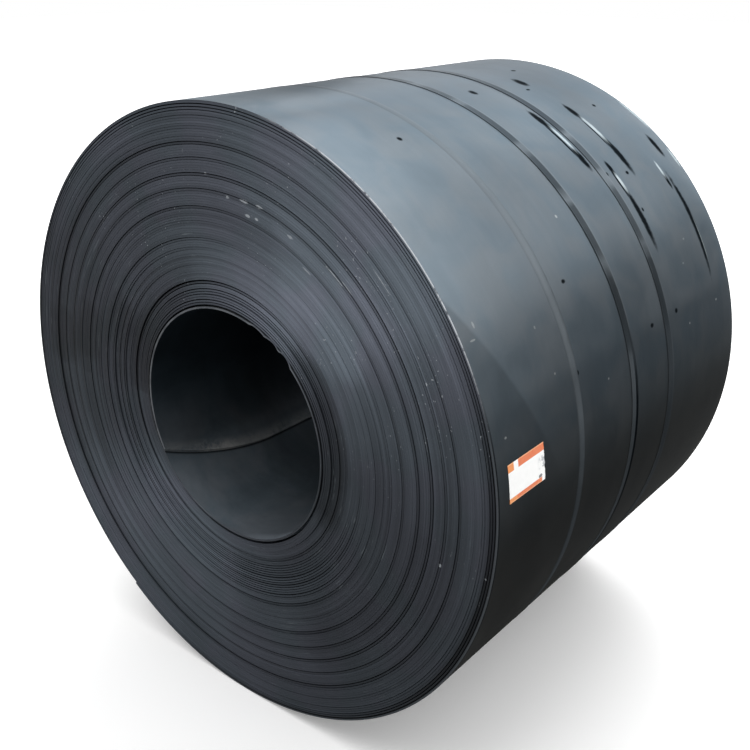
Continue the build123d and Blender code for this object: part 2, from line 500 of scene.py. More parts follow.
def strap_mesh(name, node, wander, height, bevel, foot, seed):
    """Build a strap: a flat band with bevelled edges that isn't quite straight."""
    low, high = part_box(node)
    middle = (low.y + high.y) / 2
    half = STRAP_WIDTH / 2
    outer = OUTER_RADIUS + STRAP_CLEARANCE + height - 0.02 * MM
    shoulder = max(outer - bevel, OUTER_RADIUS + foot + 0.1 * MM)
    profile = [
        (-half, OUTER_RADIUS + foot), (-half, shoulder), (-half + bevel, outer),
        (half - bevel, outer), (half, shoulder), (half, OUTER_RADIUS + foot),
    ]
    angles = np.arange(COLUMNS) * STEP_ANGLE
    drift = wander * wave(angles, seed, 1, 3)
    loops = []
    for offset, radius in profile:
        loops.append(ring_points(radius, angles, middle + drift + offset))
    faces = []
    for number in range(len(profile)):
        near = number * COLUMNS
        far = (number + 1) % len(profile) * COLUMNS
        for column in range(COLUMNS):
            after = (column + 1) % COLUMNS
            faces.append((near + column, far + column, far + after, near + after))
    strap = new_mesh(name, np.concatenate(loops), faces)
    across = strap.data.attributes.new("across", "FLOAT", "POINT")
    shares = np.repeat([offset / half for offset, _ in profile], COLUMNS)
    across.data.foreach_set("value", shares.astype(np.float32))
    return strap, angles, middle + drift


def box_ring(name, sections):
    """Build a solid from matching loops of points, each a list, joined one after another."""
    count = len(sections[0])
    faces = []
    for row in range(len(sections) - 1):
        for number in range(count):
            after = (number + 1) % count
            near, far = row * count, (row + 1) * count
            faces.append((near + number, near + after, far + after, far + number))
    faces.append(tuple(reversed(range(count))))
    faces.append(tuple((len(sections) - 1) * count + number for number in range(count)))
    return new_mesh(name, np.concatenate(sections), faces)


SEAL_ANGLE = 135.0
SEAL_LENGTH = 56 * MM
SEAL_WALL = 1.2 * MM
SEAL_STEPS = 57
SEAL_CLEARANCE = 0.1 * MM
SEAL_INNER_CLEARANCE = 0.08 * MM
SEAL_EDGE = (0.8 * MM, 0.5 * MM)
CRIMP_SPACING = 19 * MM
CRIMP_WIDTH = 2.2 * MM
CRIMP_BITE = 1.6 * MM
CRIMP_DIP = 0.5 * MM


def seal_mesh(name, node, centre_y):
    """Build a seal: a sleeve bent round the strap and crimped with two pairs of notches."""
    low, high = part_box(node)
    strap_outer = OUTER_RADIUS + STRAP_CLEARANCE + STRAP_THICKNESS
    inner = strap_outer + SEAL_INNER_CLEARANCE
    outer = strap_outer + SEAL_CLEARANCE + SEAL_WALL
    foot = OUTER_RADIUS + STRAP_CLEARANCE
    edge_width, edge_height = SEAL_EDGE
    half = (high.y - low.y) / 2
    slot = half - SEAL_WALL
    middle = (low.y + high.y) / 2 + np.clip(centre_y - (low.y + high.y) / 2, -0.05 * MM, 0.05 * MM)
    sections = []
    for place in np.linspace(-SEAL_LENGTH / 2, SEAL_LENGTH / 2, SEAL_STEPS):
        angle = SEAL_ANGLE + math.degrees(place / OUTER_RADIUS)
        crimp = math.exp(-((abs(place) - CRIMP_SPACING / 2) / CRIMP_WIDTH) ** 2)
        bite = CRIMP_BITE * crimp
        dip = CRIMP_DIP * crimp
        profile = [
            (-half + bite, foot), (-half + bite, outer - edge_height), (-half + bite + edge_width, outer),
            (0, outer - dip * 0.4), (half - bite - edge_width, outer), (half - bite, outer - edge_height),
            (half - bite, foot), (slot - bite * 0.9, foot), (slot - bite * 0.9, inner),
            (-slot + bite * 0.9, inner), (-slot + bite * 0.9, foot),
        ]
        sections.append(np.array([ring_points(radius, angle, middle + offset) for offset, radius in profile]))
    return box_ring(name, sections)


LABEL_TRIM = 6 * MM
LABEL_CLEARANCE = 0.12 * MM
PAPER_THICKNESS = 0.25 * MM


def label_mesh(name):
    """Build the label: a thin sheet that lies on the barrel, creased and lifted at its back edge."""
    low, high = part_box("label")
    rows, columns = 64, 96
    low_angle = math.degrees(math.asin((low.z - AXIS_HEIGHT + LABEL_TRIM) / OUTER_RADIUS))
    high_angle = math.degrees(math.asin((high.z - AXIS_HEIGHT) / OUTER_RADIUS))
    up, along = np.meshgrid(np.linspace(0, 1, rows), np.linspace(0, 1, columns), indexing="ij")
    lift = label_creases(up, along)
    angles = low_angle + (high_angle - low_angle) * up
    y = low.y + LABEL_TRIM + (high.y - low.y - LABEL_TRIM) * along
    y += 1.4 * MM * along ** 12 * np.sin(31 * up) * smooth(1 - np.abs(up - 0.42) / 0.3)
    base = OUTER_RADIUS + LABEL_CLEARANCE
    top = ring_points(base + PAPER_THICKNESS + lift, angles, y)
    under = ring_points(base + lift * 0.9, angles, y)
    count = rows * columns
    faces = []
    for row in range(rows - 1):
        for column in range(columns - 1):
            near = row * columns + column
            far = near + columns
            faces.append((near, far, far + 1, near + 1))
            faces.append((count + near, count + near + 1, count + far + 1, count + far))
    border = list(range(columns))
    border += [row * columns + columns - 1 for row in range(1, rows)]
    border += [(rows - 1) * columns + column for column in range(columns - 2, -1, -1)]
    border += [row * columns for row in range(rows - 2, 0, -1)]
    for number, near in enumerate(border):
        after = border[(number + 1) % len(border)]
        faces.append((near, after, count + after, count + near))
    return new_mesh(name, np.concatenate([top.reshape(-1, 3), under.reshape(-1, 3)]), faces)


def label_creases(up, along):
    """Return how far the label stands off the barrel: creases that run in from its back edge."""
    near_edge = smooth((along - 0.72) / 0.2)
    ridges = np.abs(np.sin(17 * up + 9 * along)) * np.abs(np.sin(11 * along - 8 * up + 1.0))
    corner = smooth((along - 0.86) / 0.14) * smooth((0.5 - up) / 0.5)
    return 0.42 * MM * near_edge * ridges + 0.28 * MM * corner


# Materials

# Colours that several materials share
# Near black, for painted shade in gaps and under edges
PAINTED_SHADE = (0.006, 0.007, 0.008)
DUST = (0.30, 0.32, 0.34)

# How light the scale is when seen along its surface, against a mirror
EDGE_TINT = (0.48, 0.50, 0.52, 1.0)


class Value:
    """A value in a material, which can be added, subtracted, multiplied and divided."""

    def __init__(self, nodes, socket):
        self.nodes = nodes
        self.socket = socket

    def __add__(self, other):
        return self.nodes.math("ADD", self, other)

    def __radd__(self, other):
        return self.nodes.math("ADD", other, self)

    def __sub__(self, other):
        return self.nodes.math("SUBTRACT", self, other)

    def __rsub__(self, other):
        return self.nodes.math("SUBTRACT", other, self)

    def __mul__(self, other):
        return self.nodes.math("MULTIPLY", self, other)

    def __truediv__(self, other):
        return self.nodes.math("DIVIDE", self, other)


class Nodes:
    """Short ways to build a material's nodes."""

    def __init__(self, name):
        self.material = bpy.data.materials.new(name)
        self.material.use_nodes = True
        self.tree = self.material.node_tree
        self.shader = self.tree.nodes["Principled BSDF"]

    def add(self, kind, **settings):
        """Add a node and set its properties."""
        node = self.tree.nodes.new(kind)
        for key, value in settings.items():
            setattr(node, key, value)
        return node

    def set(self, socket, value):
        """Give a socket a constant or join it to a value."""
        if isinstance(value, Value):
            self.tree.links.new(value.socket, socket)
        else:
            socket.default_value = value

    def output(self, node, key=0):
        """Return one of a node's outputs as a value."""
        return Value(self, node.outputs[key])

    def attribute(self, name):
        """Return a number that the mesh has at each of its points."""
        return self.output(self.add("ShaderNodeAttribute", attribute_name=name), "Fac")

    def math(self, operation, first, second=0.0, clamp=False):
        """Return the result of this operation on two values."""
        node = self.add("ShaderNodeMath", operation=operation, use_clamp=clamp)
        self.set(node.inputs[0], first)
        self.set(node.inputs[1], second)
        return self.output(node)

    def vary(self, tone, *changes):
        """Return a tone times start + value * slope, for each change: a value, its start and its slope."""
        for value, start, slope in changes:
            tone = tone * (start + value * slope)
        return tone

    def tinted(self, colour, tone):
        """Return a colour made lighter or darker by a tone."""
        return self.mix(1.0, colour, self.combine(tone, tone, tone), "MULTIPLY")

    def combine(self, x, y, z):
        """Return a vector of three values."""
        node = self.add("ShaderNodeCombineXYZ")
        for socket, value in zip(node.inputs, (x, y, z)):
            self.set(socket, value)
        return self.output(node)

    def between(self, value, low, high):
        """Return a smooth step from 0 at low to 1 at high."""
        node = self.add("ShaderNodeMapRange", interpolation_type="SMOOTHSTEP")
        self.set(node.inputs["Value"], value)
        if low <= high:
            limits = (low, high, 0.0, 1.0)
        else:
            limits = (high, low, 1.0, 0.0)
        for socket, limit in zip(list(node.inputs)[1:5], limits):
            self.set(socket, limit)
        return self.output(node, "Result")

    def noise(self, vector, scale=1.0, detail=3.0, roughness=0.5, distortion=0.0):
        """Return noise from 0 to 1."""
        node = self.add("ShaderNodeTexNoise")
        self.set(node.inputs["Vector"], vector)
        self.set(node.inputs["Scale"], scale)
        self.set(node.inputs["Detail"], detail)
        self.set(node.inputs["Roughness"], roughness)
        self.set(node.inputs["Distortion"], distortion)
        return self.output(node, "Fac")

    def mix(self, share, first, second, blend="MIX"):
        """Return a mix of two colours."""
        node = self.add("ShaderNodeMix", data_type="RGBA", blend_type=blend)
        node.clamp_factor = True
        self.set(node.inputs[0], share)
        self.set(node.inputs[6], first if isinstance(first, Value) else (*first, 1.0))
        self.set(node.inputs[7], second if isinstance(second, Value) else (*second, 1.0))
        return self.output(node, 2)

    def curve(self, value, stops):
        """Return a value that follows these stops, each a place and a height, with smooth joins."""
        node = self.add("ShaderNodeFloatCurve")
        node.mapping.use_clip = False
        low, high = stops[0][0], stops[-1][0]
        share = self.math("DIVIDE", value - low, high - low, True)
        self.set(node.inputs["Value"], share)
        points = node.mapping.curves[0].points
        while len(points) < len(stops):
            points.new(0.5, 0.5)
        for point, (place, height) in zip(points, stops):
            point.location = ((place - low) / (high - low), height)
        node.mapping.update()
        return self.output(node, "Value")

    def cylinder(self):
        """Read the place on the coil: radius, angle in degrees and depth from the front, in metres."""
        self.place = self.output(self.add("ShaderNodeTexCoord"), "Object")
        parts = self.add("ShaderNodeSeparateXYZ")
        self.set(parts.inputs[0], self.place)
        self.x, self.y = self.output(parts, 0), self.output(parts, 1)
        self.z = self.output(parts, 2) - AXIS_HEIGHT
        self.radius = self.math("SQRT", self.x * self.x + self.z * self.z)
        self.angle = self.math("ARCTAN2", self.z, self.x) * (180 / math.pi)
        self.depth = self.y - FRONT_Y
        self.unit_x = self.x / self.radius
        self.unit_z = self.z / self.radius

    def finish(self, colour, roughness, metallic=0.0, bump=None, height=1.0, distance=0.001):
        """Join the results to the shader."""
        base = colour if isinstance(colour, Value) else (*colour, 1.0)
        self.set(self.shader.inputs["Base Color"], base)
        self.set(self.shader.inputs["Roughness"], roughness)
        self.set(self.shader.inputs["Metallic"], metallic)
        if bump is not None:
            node = self.add("ShaderNodeBump")
            self.set(node.inputs["Height"], bump)
            self.set(node.inputs["Strength"], height)
            self.set(node.inputs["Distance"], distance)
            self.set(self.shader.inputs["Normal"], self.output(node))
        return self.material


def set_shine(nodes):
    """Let the scale shine only as far as it is metallic, and less when it is seen along its surface."""
    nodes.set(nodes.shader.inputs["Specular Tint"], EDGE_TINT)
    nodes.set(nodes.shader.inputs["Specular IOR Level"], 0.0)


def drawn_out(nodes, turns, place, across, detail, roughness):
    """Return noise drawn out round the coil: turns and across say how fine it is along and across."""
    vector = nodes.combine(nodes.unit_x * turns, place * across, nodes.unit_z * turns)
    return nodes.noise(vector, 1.0, detail, roughness)


def along_strip(nodes, turns, across):
    """Return long streaks on the barrel, on a strap or in the bore."""
    return drawn_out(nodes, turns, nodes.depth, across, 4.0, 0.6)


def along_turns(nodes, turns, across):
    """Return long streaks along the turns on an end."""
    return drawn_out(nodes, turns, nodes.radius, across, 3.0, 0.55)


def patch(nodes, place, angle, half_place, half_angle, wobble=None, soft=0.35):
    """Return a mask for a rounded mark: place is the depth on the barrel, or the radius on an end."""
    across = (place[0] - place[1]) / half_place
    along = (nodes.angle - angle) / half_angle
    square = across * across + nodes.math("POWER", along, 4.0)
    if wobble is not None:
        square = square + wobble
    return nodes.between(square, 1 + soft, 1 - soft)


def marks_mask(nodes, place, marks, wobble, soft):
    """Return one mask for a list of oval marks, each a place in mm, an angle and the half sizes of both."""
    spot = nodes.combine(place, nodes.angle, 0.0)
    nearest = None
    for middle, angle, half_place, half_angle in marks:
        scaled = nodes.add("ShaderNodeVectorMath", operation="MULTIPLY_ADD")
        nodes.set(scaled.inputs[0], spot)
        nodes.set(scaled.inputs[1], (1 / (half_place * MM), 1 / half_angle, 0.0))
        nodes.set(scaled.inputs[2], (-middle / half_place, -angle / half_angle, 0.0))
        square = nodes.add("ShaderNodeVectorMath", operation="DOT_PRODUCT")
        for socket in list(square.inputs)[:2]:
            nodes.set(socket, nodes.output(scaled))
        square = nodes.output(square, "Value")
        nearest = square if nearest is None else nodes.math("MINIMUM", nearest, square)
    return nodes.between(nearest + wobble, 1 + soft, 1 - soft)


# Marks on the barrel: distance from the front edge in mm, angle, half width in mm and half length in degrees
# The black strokes and spots are smooth rubbed patches of scale, painted black for the dark they mirror
BLACK_STROKES = [
    (795, 61.2, 12, 2.9), (798, 50.3, 11, 2.7), (787, 55.7, 5, 4.7), (973, 61.6, 11.5, 2.2),
    (978, 48.9, 12, 4.4), (965, 55.0, 3, 3.8), (886, 46.6, 8.5, 1.6), (887, 35.6, 11, 6),
    (879, 43.0, 4, 3.1), (1122, 40.2, 6.5, 1.7), (1142, 30.6, 10, 10.3), (1194, 48.4, 10, 2.7),
    (965, 74.4, 16, 1.8), (715, 73.6, 11.5, 0.9), (251, 64.2, 6.5, 0.5), (422, 31.1, 7.5, 0.35),
    (365, 16.7, 5, 0.4), (749, 16.9, 8.5, 0.4), (894, 16.9, 7.5, 0.45), (852, 45.7, 5, 0.4),
    (948, 44.7, 7.5, 0.35), (910, 36.9, 5, 0.4), (1103, 61.9, 6.5, 0.4), (935, 71.0, 8.5, 0.3),
    (1060, 80.5, 10, 0.4),
]
# Painted highlights in the smooth patches and at the far silhouette
GLINTS = [
    (801, 55.7, 6, 3.4), (978, 55.9, 7, 3.6), (889, 43.2, 6, 2.2), (1122, 43.0, 5, 2),
    (1150, 27.0, 2, 4.5), (1241, 44.5, 5, 2.2), (1243, 57.0, 5, 4),
]
LIGHT_SPECKS = [
    (252, 26.6, 3, 0.3), (54, 13.9, 4, 0.2), (495, 12.7, 3, 0.2), (998, 24.4, 5, 0.2),
    (1047, 28.6, 5, 0.2), (1148, 14.4, 5, 0.2), (962, 13.1, 4, 0.2), (631, 14.4, 4, 0.2),
    (275, 18.6, 3, 0.2), (525, 41.5, 4, 0.3), (40, 29.0, 9, 0.15), (60, 31.0, 3, 0.5),
]


# Painted sheen and shade on the barrel by height, from its foot at -1 to its top at 1
PAINTED_HEIGHT_LIGHT = [
    (-1.0, 0.26), (-0.42, 0.25), (-0.22, 0.20), (-0.08, 0.19), (0.09, 0.31), (0.26, 0.45), (0.42, 0.80),
    (0.57, 0.79), (0.70, 0.76), (0.82, 0.90), (0.90, 1.00), (0.97, 0.86), (1.0, 0.66),
]


def painted_height_light(nodes):
    """Return how light the barrel is painted by height: painted shade low down, painted sheen higher up."""
    return nodes.curve(nodes.unit_z, PAINTED_HEIGHT_LIGHT)


# Painted sheen on the barrel by depth in metres
PAINTED_DEPTH_LIGHT = [
    (0.0, 1.26), (0.1, 1.12), (0.2, 0.98), (0.35, 0.90), (0.5, 0.87), (0.75, 0.88), (0.95, 0.98),
    (1.1, 1.05), (1.25, 1.34),
]


def painted_depth_light(nodes):
    """Return the sheen painted along the barrel's axis: duller over the top's far end, brighter over the
    top's front end.
    """
    depth = nodes.curve(nodes.depth, PAINTED_DEPTH_LIGHT)
    far_top = nodes.between(nodes.depth, 0.75, 1.05) * nodes.between(nodes.unit_z, 0.70, 0.96)
    near_top = nodes.between(nodes.depth, 0.45, 0.05) * nodes.between(nodes.unit_z, 0.97, 0.995)
    change = near_top - far_top * 0.40
    return depth * (1.0 + change)


def barrel_metal(nodes):
    """Return how metallic the barrel is by height: dirt dulls it low down."""
    return nodes.curve(nodes.unit_z, [(-1.0, 0.10), (-0.2, 0.12), (0.1, 0.30), (0.4, 0.80), (1.0, 0.85)])


def barrel_material():
    """Mill scale on the barrel: blue-grey and smudged under painted sheen and shade, with wet-looking dark
    strokes painted black and painted glints.
    """
    nodes = Nodes("mill_scale_barrel")
    nodes.cylinder()
    streaks = along_strip(nodes, 1.6, 60.0)
    bands = along_strip(nodes, 0.9, 9.0)
    clouds = nodes.noise(nodes.place, 3.0, 3.0, 0.6)
    smudges = nodes.noise(nodes.place, 8.5, 3.0, 0.5, 0.6)
    grain = nodes.noise(nodes.place, 260.0, 3.0, 0.7)
    height = painted_height_light(nodes)
    tone = height * (0.94 + streaks * 0.12)
    tone = nodes.vary(tone, (clouds, 0.80, 0.40), (smudges, 0.70, 0.60), (bands, 0.90, 0.20),
                      (grain, 0.95, 0.10))
    tone = tone * painted_depth_light(nodes)
    # Painted edge of a reflection: darker below a diagonal line near the front
    painted_reflection_edge = nodes.angle - (37.0 - nodes.depth * 135.0)
    painted_reflection_edge = nodes.between(painted_reflection_edge, 0.8, -1.2) * nodes.between(nodes.depth, 0.32, 0.12)
    tone = tone * (1.0 - painted_reflection_edge * 0.24)
    blue = nodes.mix(nodes.between(smudges, 0.35, 0.65), (0.075, 0.092, 0.106), (0.080, 0.092, 0.102))
    # Painted reflection of the sky: bluer higher up, more neutral low down
    hue_by_height = nodes.mix(nodes.between(nodes.unit_z, 0.25, -0.15), blue, (0.082, 0.083, 0.080))
    colour = nodes.tinted(hue_by_height, tone)
    wobble = (nodes.noise(nodes.place, 60.0, 3.0, 0.6) - 0.5) * 1.4
    black = marks_mask(nodes, nodes.depth, BLACK_STROKES, wobble, 0.75)
    glint = marks_mask(nodes, nodes.depth, GLINTS, wobble, 0.9)
    specks = marks_mask(nodes, nodes.depth, LIGHT_SPECKS, wobble, 0.4)
    # Painted dark reflections, then painted glints, then light specks
    colour = nodes.mix(black * 0.94, colour, (0.003, 0.004, 0.005))
    colour = nodes.mix(glint * 0.8, colour, (0.21, 0.24, 0.25))
    colour = nodes.mix(specks * 0.5, colour, (0.20, 0.21, 0.21))
    # Painted highlight on the rubbed front rim
    edge = nodes.between(nodes.depth, 4 * MM, 2 * MM)
    colour = nodes.mix(edge * rim_wear_and_highlight(nodes), colour, (0.40, 0.42, 0.44))
    # Painted shade in the gap at the barrel's front rim, low down
    gap_shade = nodes.between(nodes.depth, 10 * MM, 7 * MM) * rim_shade(nodes)
    colour = nodes.mix(gap_shade, colour, PAINTED_SHADE)
    rough = 0.34 + smudges * 0.14
    keep = 1.0 - black
    bump = grain * 0.02 - black * 0.12
    set_shine(nodes)
    metallic = barrel_metal(nodes) * (0.1 + keep * 0.9)
    return nodes.finish(colour, rough, metallic, bump, 0.5, 1.0 * MM)


# Scuffs on the front end: radius in mm, angle, half width in mm and half length in degrees
SCUFFS = [
    (593, 85.0, 3.0, 0.5), (598, 80.0, 3.5, 1.2), (602, 75.5, 3.0, 1.0), (569, 78.5, 3.0, 0.8),
    (572, 75.6, 3.0, 0.5), (584, 65.3, 3.5, 0.8), (670, -11.4, 4.0, 0.35), (596, 51.5, 2.0, 2.6),
    (602, 48.0, 1.5, 1.8), (636, 92.0, 2.5, 0.4), (690, 44.0, 1.2, 2.5), (545, 58.0, 1.5, 1.5),
]

# Lighter and darker places on the ends: radius in mm, angle, half width in mm, half length in degrees and
# change
TONE_PATCHES = [
    (400, 78.0, 60, 26.0, 0.28), (480, 48.0, 60, 18.0, 0.26), (350, 8.0, 45, 36.0, -0.54),
    (400, -120.0, 70, 30.0, 0.36), (680, 172.0, 70, 7.0, -0.30), (560, 166.0, 70, 9.0, -0.30),
    (450, 156.0, 50, 12.0, -0.24), (350, 148.0, 42, 36.0, -0.36), (760, 130.0, 30, 22.0, 0.20),
    (540, 88.0, 34, 26.0, -0.16), (600, -40.0, 60, 30.0, -0.16), (440, -100.0, 40, 50.0, 0.14),
]


# How light the ends are round the coil: two wide lobes of painted sheen, as on any face of ringed metal
END_SHEEN = [
    (-180, 0.37), (-165, 0.45), (-135, 0.75), (-105, 0.70), (-75, 0.50), (-45, 0.38), (-15, 0.36),
    (15, 0.55), (30, 0.84), (45, 1.14), (60, 1.06), (75, 0.86), (105, 0.55), (135, 0.42), (165, 0.30),
    (180, 0.37),
]


def rim_shade(nodes):
    """Return where shade is painted on the outer rim low down, in the gaps at its edge."""
    return nodes.between(nodes.angle, 24.0, 10.0) * nodes.between(nodes.angle, -130.0, -90.0)


def rim_wear_and_highlight(nodes):
    """Return how rubbed and lit the outer rim is: wear with a painted highlight, bright from the right side
    to the top.
    """
    place = nodes.between(nodes.angle, 16.0, 36.0) * nodes.between(nodes.angle, 82.0, 62.0)
    patches = nodes.between(nodes.noise(nodes.place, 38.0, 3.0, 0.7), 0.34, 0.50)
    return place * 0.75 * (0.12 + patches * 0.88)


def end_material():
    """The strip's edges on the ends: each turn a little lighter or darker than the next, and rubbed, under
    painted sheen and painted shade at the gaps.
    """
    nodes = Nodes("mill_scale_edges")
    nodes.cylinder()
    turn_tone = nodes.attribute("turn_tone")
    by_turn = along_turns(nodes, 0.8, 260.0)
    wide = along_turns(nodes, 0.6, 34.0)
    clouds = nodes.noise(nodes.place, 3.4, 4.0, 0.55)
    grain = nodes.noise(nodes.place, 320.0, 3.0, 0.7)
    smear = along_turns(nodes, 7.0, 190.0)
    smudges = nodes.noise(nodes.place, 9.0, 2.0, 0.5)
    tone = turn_tone * (0.92 + by_turn * 0.16)
    tone = nodes.vary(tone, (wide, 0.70, 0.60), (clouds, 0.70, 0.60), (grain, 0.82, 0.36))
    upper = nodes.z * 0.82 + nodes.x * 0.36
    around = nodes.angle + (wide - 0.5) * 26.0
    shade = nodes.curve(around, END_SHEEN)
    tone = tone * (shade * 1.30)
    for radius, angle, width, length, change in TONE_PATCHES:
        ragged = (clouds - 0.5) * 3.0
        place = patch(nodes, (nodes.radius, radius * MM), angle, width * MM, length, ragged, 0.95)
        tone = tone * (1.0 + place * change)
    patches = nodes.between(nodes.noise(nodes.place, 6.0, 2.0), 0.42, 0.6)
    hue = nodes.mix(patches, (0.054, 0.0645, 0.077), (0.059, 0.0655, 0.081))
    colour = nodes.tinted(hue, tone)
    rubbed = nodes.between(smear, 0.62, 0.72) * nodes.between(clouds, 0.45, 0.62)
    colour = nodes.mix(rubbed * 0.28, colour, (0.14, 0.16, 0.17))
    dust = nodes.between(nodes.noise(nodes.place, 170.0, 1.0, 0.4), 0.72, 0.76)
    dust = dust * (nodes.between(upper, 0.05, 0.3) * nodes.between(smudges, 0.52, 0.66))
    colour = nodes.mix(dust * 0.7, colour, DUST)
    wobble = (nodes.noise(nodes.place, 120.0, 3.0, 0.6) - 0.5) * 3.0
    marks = marks_mask(nodes, nodes.radius, SCUFFS, wobble, 0.5)
    scuffs = marks * nodes.between(nodes.y, 0.0, -0.1)
    colour = nodes.mix(scuffs * 0.55, colour, DUST)
    # Painted highlight on the rubbed outer rim
    rim = nodes.between(nodes.radius, 796.5 * MM, 798.5 * MM) * rim_wear_and_highlight(nodes)
    colour = nodes.mix(rim, colour, (0.62, 0.65, 0.68))
    # Painted shade in the groove inside the outermost turn, low down, and a lighter line on the outermost
    # edge
    groove = nodes.between(nodes.radius, 790 * MM, 792 * MM) * nodes.between(nodes.radius, 796 * MM, 794 * MM)
    colour = nodes.mix(groove * rim_shade(nodes), colour, PAINTED_SHADE)
    outermost = nodes.between(nodes.radius, 795.5 * MM, 797 * MM) * rim_shade(nodes)
    colour = nodes.mix(outermost * 0.20, colour, (0.10, 0.11, 0.11))
    lip = nodes.between(nodes.radius, 314 * MM, 309 * MM) * lip_tone(nodes)
    colour = nodes.mix(lip, colour, (0.14, 0.15, 0.16))
    rough = 0.42 + by_turn * 0.2
    bump = grain * 0.2 + smear * 0.4
    nodes.set(nodes.shader.inputs["Specular Tint"], (0.3, 0.3, 0.3, 1.0))
    return nodes.finish(colour, rough, 0.7, bump, 0.6, 1.0 * MM)


def above_edge(nodes):
    """Return how far a place in the bore lies above the strip's inner end, in degrees."""
    share = nodes.math("DIVIDE", nodes.depth, CORNER_LENGTH, True)
    power = math.log(0.5) / math.log(1 - CORNER_MIDDLE_LENGTH / CORNER_LENGTH)
    bend = 1.0 - nodes.math("POWER", 1.0 - share, power)
    edge = (CORNER_ANGLE - 360) + bend * (INNER_END_ANGLE - CORNER_ANGLE)
    return edge - nodes.angle


def lip_tone(nodes):
    """Return how rubbed the bore's lip is: least at the lower right."""
    around = nodes.unit_z * 0.7 - nodes.unit_x * 0.6
    patches = nodes.between(nodes.noise(nodes.place, 22.0, 3.0, 0.6), 0.35, 0.6)
    share = 0.08 + nodes.between(around, -0.8, 0.5) * 0.42
    return share * (0.5 + patches * 0.5)


# Painted light and shade on the bore's wall round the coil
BORE_SHEEN = [
    (-180, 0.45), (-170, 0.68), (-150, 1.17), (-130, 1.95), (-110, 2.0), (-90, 1.65), (-70, 1.35),
    (-30, 0.9), (0, 0.5), (40, 0.2), (110, 0.14), (150, 0.18), (170, 0.30), (180, 0.45),
]


# Painted shade on the bore's wall by depth in metres: darker further in
BORE_DEPTH_SHADE = [
    (0.0, 1.15), (0.12, 1.02), (0.2, 0.98), (0.3, 0.72), (0.43, 0.42), (0.6, 0.30), (1.25, 0.15),
]


# How worn the edge of the strip's inner end is by depth in metres
WORN_EDGE = [
    (0.0, 0.22), (0.07, 0.22), (0.13, 0.85), (0.17, 1.0), (0.24, 0.5), (0.4, 0.22), (0.6, 0.10),
    (1.25, 0.05),
]


def bore_material():
    """The bore's wall: dull scale, painted lighter low down near the front and darker further in, rubbed
    along the strip's inner end.
    """
    nodes = Nodes("mill_scale_bore")
    nodes.cylinder()
    clouds = nodes.noise(nodes.place, 6.0, 5.0, 0.62, 0.5)
    streaks = along_strip(nodes, 2.2, 14.0)
    grain = nodes.noise(nodes.place, 300.0, 3.0, 0.7)
    tone = (0.5 + clouds * 1.0) * (0.70 + streaks * 0.6)
    tone = tone * nodes.curve(nodes.angle, BORE_SHEEN)
    front = nodes.curve(nodes.depth, BORE_DEPTH_SHADE)
    tone = tone * front
    hue = nodes.mix(nodes.between(clouds, 0.4, 0.62), (0.045, 0.056, 0.066), (0.049, 0.056, 0.064))
    hue = nodes.mix(nodes.between(nodes.unit_z, -0.5, 0.2), hue, (0.038, 0.054, 0.067))
    # A painted pool of light low on the right, near the front rim
    lit_low_right = patch(nodes, (nodes.depth, 8 * MM), -58.0, 30 * MM, 24.0, None, 0.9)
    tone = nodes.vary(tone, (lit_low_right, 1.0, 0.65))
    colour = nodes.tinted(hue, tone)
    above = above_edge(nodes)
    band = nodes.between(above, 8.0, 0.5) * nodes.between(above, -0.1, 0.1)
    worn = clouds + nodes.noise(nodes.place, 90.0, 4.0, 0.7) * 0.5
    worn = band * nodes.between(worn, 0.52, 0.86)
    along = nodes.curve(nodes.depth, WORN_EDGE)
    colour = nodes.mix(worn * along, colour, (0.32, 0.32, 0.31))
    edge = nodes.between(above, 2.2, 0.6) * nodes.between(above, -0.1, 0.1)
    colour = nodes.mix(edge * (along * 0.5), colour, (0.24, 0.25, 0.25))
    # Painted shadow in the gap under the strip's inner end
    below = nodes.between(above, 0.0, -0.15) * nodes.between(above, -1.6, -0.4)
    colour = nodes.mix(below * 0.9, colour, PAINTED_SHADE)
    rim = nodes.between(nodes.depth, 5 * MM, 3 * MM) * 0.7
    colour = nodes.mix(rim, colour, (0.012, 0.013, 0.014))
    rough = 0.40 + clouds * 0.2
    set_shine(nodes)
    return nodes.finish(colour, rough, 0.4, grain + clouds * 3.0, 0.25, 1.0 * MM)


# Painted light on each strap by angle, with highlights where it is bent; 1 is as light as the barrel
STRAP_TONES = {
    "front": [
        (-180, 0.8), (-60, 1.2), (-30, 1.8), (-8, 2.0), (5, 2.1), (14, 1.75), (26, 1.42), (38, 1.15),
        (55, 1.06), (72, 1.0), (110, 0.9), (180, 0.8),
    ],
    "middle": [
        (-180, 0.8), (-50, 1.3), (-30, 1.8), (8, 1.9), (15, 1.2), (24, 0.42), (29, 0.46), (31, 1.05),
        (33, 0.45), (42, 0.45), (44, 1.1), (46, 0.42), (54, 0.5), (56, 1.0), (58, 0.42), (69, 0.5),
        (71, 0.95), (73, 0.4), (79, 0.4), (81, 0.95), (83, 0.3), (101, 0.25), (120, 0.7), (180, 0.8),
    ],
    "rear": [
        (-180, 0.8), (-10, 1.1), (12, 1.0), (20, 0.48), (28, 0.45), (31, 1.1), (33, 0.5), (42, 0.55),
        (45, 1.2), (48, 0.6), (54, 0.55), (56, 1.1), (58, 0.36), (97, 0.28), (110, 0.6), (180, 0.8),
    ],
}


